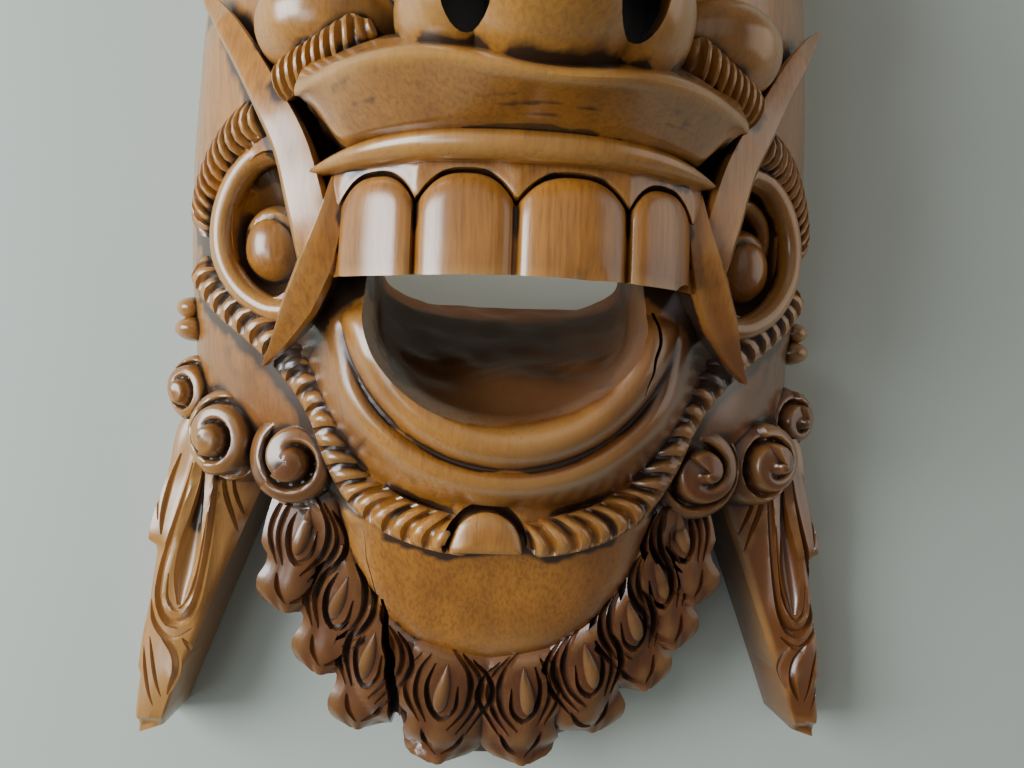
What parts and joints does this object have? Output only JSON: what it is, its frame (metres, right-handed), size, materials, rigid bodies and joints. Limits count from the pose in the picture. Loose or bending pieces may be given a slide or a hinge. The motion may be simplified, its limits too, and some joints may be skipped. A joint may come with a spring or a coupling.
{
  "type": "carved wooden barong mask",
  "caption": "Hollow carved wooden face mask with an open toothed mouth, tusks, fangs, rope bands, curls, a leaf beard and long side pendants.",
  "frame": {"origin": "bottom centre of the box round the mask, on the plane of its back rim", "axes": "+Y from the chin up to the crown, +Z out of the face, +X to the viewer's right"},
  "size_m": [0.249, 0.405, 0.166],
  "materials": {
    "varnished_wood": "satin brown varnish over worn golden wood, dark in the grooves"
  },
  "bodies": {
    "root": {"barong_mask": "varnished_wood"}
  },
  "joints": []
}
